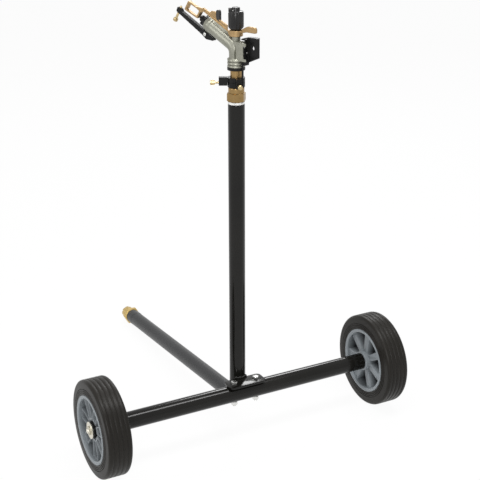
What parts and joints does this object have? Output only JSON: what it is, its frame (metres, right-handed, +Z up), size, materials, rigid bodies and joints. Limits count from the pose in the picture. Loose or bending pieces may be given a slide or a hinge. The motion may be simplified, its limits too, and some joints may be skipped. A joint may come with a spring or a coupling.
{
  "type": "wheeled sprinkler",
  "caption": "Impact sprinkler head on an upright black pipe above a two-wheeled axle, with a supply leg trailing to a brass hose coupling.",
  "frame": {"origin": "middle of the footprint, on the ground: level with the middle of the axle in X, and half-way between the wheels' front and the leg's far end in Y", "axes": "+X along the axle towards the right wheel, +Y towards the far end of the supply leg, +Z up along the riser pipe"},
  "size_m": [0.7644, 0.8047, 0.9646],
  "materials": {
    "tyre_rubber": "matte black",
    "hub_plastic": "blue-grey, satin",
    "pale_plastic": "off-white, satin",
    "black_gloss_steel": "gloss black coat over steel",
    "zinc_plated_steel": "zinc plated, warm grey",
    "brass": "satin",
    "cast_zinc": "cast, greenish grey, satin",
    "black_plastic": "black, satin",
    "black_rubber": "matte black",
    "white_tape": "white, matte",
    "spring_steel": "bright wire",
    "plain_steel": "plain"
  },
  "bodies": {
    "frame": {"axle_tube": "black_gloss_steel", "left_stub_axle": "zinc_plated_steel", "right_stub_axle": "zinc_plated_steel", "left_axle_washer": "zinc_plated_steel", "right_axle_washer": "zinc_plated_steel", "left_axle_nut": "zinc_plated_steel", "right_axle_nut": "zinc_plated_steel", "saddle_plate": "black_gloss_steel", "left_saddle_bolt": "zinc_plated_steel", "right_saddle_bolt": "zinc_plated_steel", "left_saddle_nut": "zinc_plated_steel", "right_saddle_nut": "zinc_plated_steel", "riser_pipe": "black_gloss_steel", "base_elbow": "black_gloss_steel", "supply_leg": "black_gloss_steel", "leg_socket": "black_gloss_steel", "hose_adaptor": "brass", "sealing_tape": "white_tape", "riser_adaptor": "brass", "bearing_sleeve": "brass"},
    "left_wheel": {"left_tyre": "tyre_rubber", "left_hub": "hub_plastic", "left_bush": "pale_plastic"},
    "right_wheel": {"right_tyre": "tyre_rubber", "right_hub": "hub_plastic", "right_bush": "pale_plastic"},
    "hose_swivel": {"hose_nut": "brass", "hose_washer": "black_rubber"},
    "lower_collar": {"lower_trip_collar": "black_plastic"},
    "lower_thumbscrew": {"lower_trip_thumbscrew": "brass"},
    "upper_collar": {"upper_trip_collar": "black_plastic"},
    "upper_thumbscrew": {"upper_trip_thumbscrew": "brass"},
    "head": {"head_body": "cast_zinc", "bearing_seal": "black_plastic", "nozzle": "black_plastic", "pivot_pin": "plain_steel", "thrust_washer": "pale_plastic", "spring_cap": "black_plastic", "spring_cap_screw": "plain_steel", "impact_spring": "spring_steel", "trip_pin": "plain_steel", "trip_spring": "spring_steel", "diffuser_clamp_screw": "plain_steel"},
    "arm": {"impact_arm": "brass", "arm_bumper": "black_rubber"},
    "trip_lever": {"trip_lever": "black_plastic"},
    "diffuser": {"diffuser_arm": "black_plastic"},
    "diffuser_screw": {"diffuser_screw": "brass"}
  },
  "joints": [
    {"name": "left_wheel_spin", "type": "hinge", "parent": "frame", "child": "left_wheel", "pos_m": [-0.344, -0.29436, 0.108], "axis": [1, 0, 0], "continuous": true},
    {"name": "right_wheel_spin", "type": "hinge", "parent": "frame", "child": "right_wheel", "pos_m": [0.344, -0.29436, 0.108], "axis": [1, 0, 0], "continuous": true},
    {"name": "hose_nut_spin", "type": "hinge", "parent": "frame", "child": "hose_swivel", "pos_m": [0, 0.38761, 0.02131], "axis": [0, 0.9966, -0.0821], "continuous": true},
    {"name": "lower_collar_turn", "type": "hinge", "parent": "frame", "child": "lower_collar", "pos_m": [0, -0.25831, 0.8009], "axis": [0, 0, 1], "range_deg": [-50, 1]},
    {"name": "lower_thumbscrew_turn", "type": "hinge", "parent": "lower_collar", "child": "lower_thumbscrew", "pos_m": [-0.00746, -0.28736, 0.80665], "axis": [-0.2487, -0.9686, 0], "continuous": true},
    {"name": "upper_collar_turn", "type": "hinge", "parent": "frame", "child": "upper_collar", "pos_m": [0, -0.25831, 0.8212], "axis": [0, 0, 1], "range_deg": [-150, 55]},
    {"name": "upper_thumbscrew_turn", "type": "hinge", "parent": "upper_collar", "child": "upper_thumbscrew", "pos_m": [-0.03545, -0.23978, 0.80935], "axis": [-0.8862, 0.4633, 0], "continuous": true},
    {"name": "head_swivel", "type": "hinge", "parent": "frame", "child": "head", "pos_m": [0, -0.25831, 0.8427], "axis": [0, 0, 1], "range_deg": [-1, 208]},
    {"name": "arm_swing", "type": "hinge", "parent": "head", "child": "arm", "pos_m": [0, -0.25831, 0.9063], "axis": [0, 0, 1], "range_deg": [0, 110], "stiffness_Nm_per_rad": 0.02},
    {"name": "trip_flip", "type": "hinge", "parent": "head", "child": "trip_lever", "pos_m": [0, -0.25831, 0.8753], "axis": [-0.3478, 0.9376, 0], "range_deg": [-6, 0]},
    {"name": "diffuser_tilt", "type": "hinge", "parent": "head", "child": "diffuser", "pos_m": [-0.02887, -0.18047, 0.89907], "axis": [0.9376, 0.3478, 0], "range_deg": [-4, 9]},
    {"name": "diffuser_screw_travel", "type": "slide", "parent": "diffuser", "child": "diffuser_screw", "axis": [0.1791, -0.4829, 0.8572], "range_m": [-0.008, 0.014]}
  ]
}
